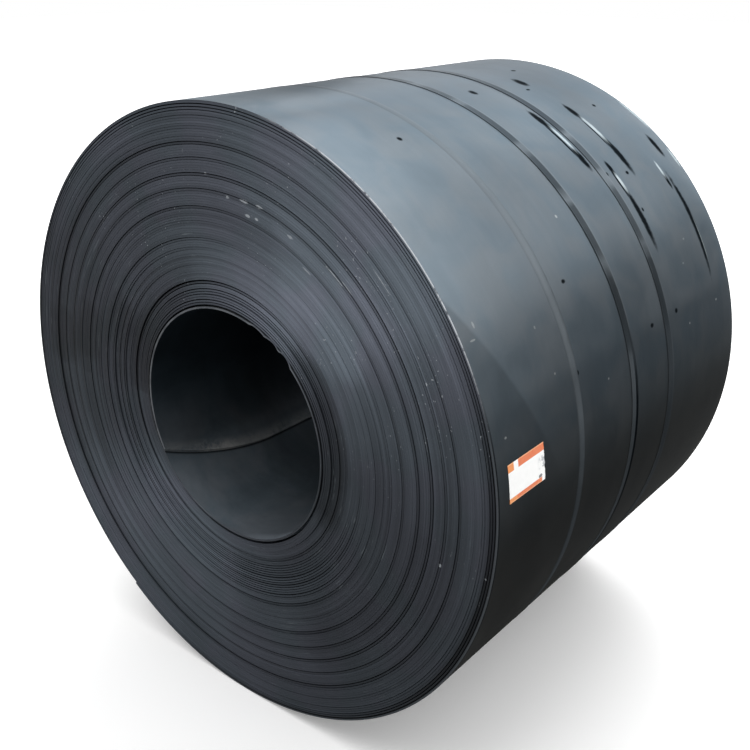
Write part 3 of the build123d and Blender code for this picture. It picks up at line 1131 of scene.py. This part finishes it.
def strap_material(name, tones):
    """Steel strapping: dark, with painted highlights where it is bent, light places where it is rubbed, and
    the barrel's painted sheen and shade.
    """
    nodes = Nodes("strapping_" + name)
    nodes.cylinder()
    streaks = along_strip(nodes, 3.0, 500.0)
    clouds = nodes.noise(nodes.place, 26.0, 4.0, 0.6)
    grain = nodes.noise(nodes.place, 300.0, 3.0, 0.7)
    sheet = painted_height_light(nodes) * painted_depth_light(nodes)
    tone = nodes.curve(nodes.angle + (clouds - 0.5) * 2.0, tones)
    across = nodes.attribute("across")
    if name == "front":
        band = nodes.between(nodes.math("ABSOLUTE", across), 1.0, 0.4)
        rear_tone = 1.0
    else:
        band = nodes.between(across, 0.85, 0.5)
        rear_tone = 1.35
    tone = rear_tone + (tone - rear_tone) * band
    if name == "middle":
        # Painted shadow along the rear of the middle strap, low on the right
        rear_shadow = nodes.between(across, 0.12, 0.32) * nodes.between(across, 1.0, 0.94)
        rear_shadow = rear_shadow * nodes.between(nodes.angle, 22.0, 6.0)
        rear_shadow = rear_shadow * nodes.between(nodes.angle, -120.0, -60.0)
        tone = tone * (1.0 - rear_shadow * 0.97)
    tone = tone * sheet
    tone = nodes.vary(tone, (clouds, 0.76, 0.48), (streaks, 0.86, 0.28))
    colour = nodes.tinted((0.072, 0.082, 0.090), tone)
    scratches = nodes.between(streaks, 0.62, 0.7) * nodes.between(clouds, 0.4, 0.6)
    colour = nodes.mix(scratches * 0.2, colour, (0.20, 0.21, 0.22))
    if name != "front":
        top = OUTER_RADIUS + STRAP_CLEARANCE + STRAP_THICKNESS
        # Painted shade on the side faces of the middle and rear straps
        side = nodes.between(nodes.radius, top - 0.16 * MM, top - 0.46 * MM)
        colour = nodes.mix(side * 0.8, colour, (0.05, 0.055, 0.06))
    rough = 0.32 + clouds * 0.16
    set_shine(nodes)
    return nodes.finish(colour, rough, barrel_metal(nodes), grain + streaks, 0.2, 0.3 * MM)


def paper_material():
    """The paper label: white with orange bars along its top and bottom, and rubbed at its back edge."""
    nodes = Nodes("label_paper")
    nodes.cylinder()
    low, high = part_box("label")
    low = low + Vector((0, LABEL_TRIM, LABEL_TRIM))
    along = (nodes.y - low.y) / (high.y - low.y)
    up = (nodes.z - (low.z - AXIS_HEIGHT)) / (high.z - low.z)
    fine = nodes.noise(nodes.place, 420.0, 3.0, 0.6)
    blotch = nodes.noise(nodes.place, 60.0, 4.0, 0.65)
    paper = nodes.mix(blotch, (0.84, 0.85, 0.84), (0.94, 0.94, 0.93))
    top_bar = nodes.between(up, 0.785, 0.805)
    gap = nodes.between(along, 0.15, 0.165) * nodes.between(along, 0.285, 0.27)
    top_bar = top_bar * (1.0 - gap)
    low_bar = nodes.between(up, 0.135, 0.115) * nodes.between(along, 0.93, 0.90)
    light_end = nodes.between(along, 0.22, 0.2)
    blotched = nodes.mix(blotch, (0.62, 0.12, 0.03), (0.76, 0.20, 0.06))
    orange = nodes.mix(light_end, blotched, (0.74, 0.25, 0.06))
    faded = nodes.math("MAXIMUM", nodes.between(up, 0.96, 1.0), nodes.between(up, 0.03, 0.0))
    orange = nodes.mix(faded * 0.6, orange, (0.90, 0.55, 0.30))
    colour = nodes.mix(nodes.math("MAXIMUM", top_bar, low_bar), paper, orange)
    rubbed = nodes.between(along, 0.78, 0.92) * nodes.between(blotch, 0.42, 0.54)
    rubbed = rubbed * nodes.between(nodes.math("ABSOLUTE", up - 0.52), 0.20, 0.12)
    colour = nodes.mix(rubbed * 0.75, colour, (0.20, 0.22, 0.25))
    spot = nodes.math("POWER", (along - 0.87) / 0.05, 2.0) + nodes.math("POWER", (up - 0.17) / 0.05, 2.0)
    spot = nodes.between(spot + (blotch - 0.5) * 3.0, 1.3, 0.7)
    colour = nodes.mix(spot * 0.85, colour, (0.03, 0.03, 0.035))
    return nodes.finish(colour, 0.55, 0.0, fine, 0.15, 0.2 * MM)


# Building

def build_coil():
    """Build the coil's four pieces."""
    front = Winding(-1, CORNER_ANGLE, 5)
    back = Winding(1, INNER_END_ANGLE, 6)
    edges = end_material()
    finish_piece(turns_mesh(front, "front_turns"), edges, "hot_rolled_steel", "coil")
    finish_piece(turns_mesh(back, "back_turns"), edges, "hot_rolled_steel", "coil")
    finish_piece(barrel_mesh(front, back), barrel_material(), "hot_rolled_steel", "coil")
    finish_piece(bore_mesh(front, back), bore_material(), "hot_rolled_steel", "coil")


def build_straps():
    """Build the three straps with their seals."""
    for number, (name, sizes) in enumerate(STRAPS.items()):
        steel = strap_material(name, STRAP_TONES[name])
        strap, angles, places = strap_mesh("band_" + name, "strap_" + name, *sizes, STRAP_SEED + number)
        finish_piece(strap, steel, "strapping_steel", "strap_" + name)
        at_seal = float(np.interp(SEAL_ANGLE, angles, places))
        seal = seal_mesh("clip_" + name, "seal_" + name, at_seal)
        finish_piece(seal, steel, "strapping_steel", "seal_" + name)


FILL_STRENGTH = 0.6


def seen_directly(tree):
    """Return 1 for camera rays and for rays mirrored or let through, and 0 for scattered light."""
    path = tree.nodes.new("ShaderNodeLightPath")
    seen = path.outputs["Is Camera Ray"]
    for name in ("Is Glossy Ray", "Is Transmission Ray"):
        either = tree.nodes.new("ShaderNodeMath")
        either.operation = "MAXIMUM"
        tree.links.new(seen, either.inputs[0])
        tree.links.new(path.outputs[name], either.inputs[1])
        seen = either.outputs[0]
    return seen


def floor_material():
    """A pale floor that runs into the white background some way from the coil."""
    nodes = Nodes("floor")
    nodes.cylinder()
    reach = nodes.math("SQRT", nodes.x * nodes.x + nodes.y * nodes.y)
    white = 0.2 + nodes.between(reach, 1.6, 5.0) * 0.8
    white = white * Value(nodes, seen_directly(nodes.tree))
    nodes.set(nodes.shader.inputs["Emission Color"], (1.0, 1.0, 1.0, 1.0))
    nodes.set(nodes.shader.inputs["Emission Strength"], white)
    return nodes.finish((0.85, 0.85, 0.85), 0.9)


def build_stage():
    """Build the floor and the world's light: white where it shows or is mirrored, weaker as a fill."""
    floor = new_mesh("floor", [(-30, -30, 0), (30, -30, 0), (30, 30, 0), (-30, 30, 0)], [(0, 1, 2, 3)], False)
    floor.data.materials.append(floor_material())
    world = bpy.data.worlds.new("world")
    bpy.context.scene.world = world
    world.use_nodes = True
    tree = world.node_tree
    seen = seen_directly(tree)
    strength = tree.nodes.new("ShaderNodeMapRange")
    strength.inputs["To Min"].default_value = FILL_STRENGTH
    tree.links.new(seen, strength.inputs["Value"])
    tree.nodes["Background"].inputs[0].default_value = (1.0, 1.0, 1.0, 1.0)
    tree.links.new(strength.outputs["Result"], tree.nodes["Background"].inputs[1])


def area_light(name, place, target, size, power):
    """Add a soft light at a place, turned to a target."""
    light = bpy.data.lights.new(name, "AREA")
    light.shape = "RECTANGLE"
    light.size, light.size_y = size
    light.energy = power
    lamp = bpy.data.objects.new(name, light)
    bpy.context.scene.collection.objects.link(lamp)
    lamp.location = place
    lamp.rotation_euler = (Vector(target) - Vector(place)).to_track_quat("-Z", "Y").to_euler()
    lamp.visible_camera = False
    return lamp


def build_lights():
    """Add a wide panel behind the coil, mirrored along the barrel's upper side, and a soft top light."""
    area_light("panel", (0.5, 4.6, 5.0), (0.5, 0.0, 4.6), (9.5, 4.4), 700)
    area_light("top", (-1.0, -2.0, 6.5), (-0.2, -0.3, 0.0), (6.0, 6.0), 300)


CAMERA_LENS = 48.05
CAMERA_SENSOR = 36.0
CAMERA_SHIFT = (-0.0241, -0.0533)
CAMERA_PLACE = (1.730, -2.134, 1.897)
CAMERA_DIRECTION = (-0.5838, 0.7314, -0.3524)


def build_camera():
    """Add the camera."""
    camera = bpy.data.cameras.new("camera")
    camera.lens = CAMERA_LENS
    camera.sensor_width = CAMERA_SENSOR
    camera.shift_x, camera.shift_y = CAMERA_SHIFT
    view = bpy.data.objects.new("camera", camera)
    bpy.context.scene.collection.objects.link(view)
    view.location = CAMERA_PLACE
    view.rotation_euler = Vector(CAMERA_DIRECTION).to_track_quat("-Z", "Y").to_euler()
    bpy.context.scene.camera = view


build_coil()
build_straps()
finish_piece(label_mesh("sticker"), paper_material(), "label_paper", "label")
build_stage()
build_lights()
build_camera()
bpy.context.scene.view_settings.view_transform = "Standard"
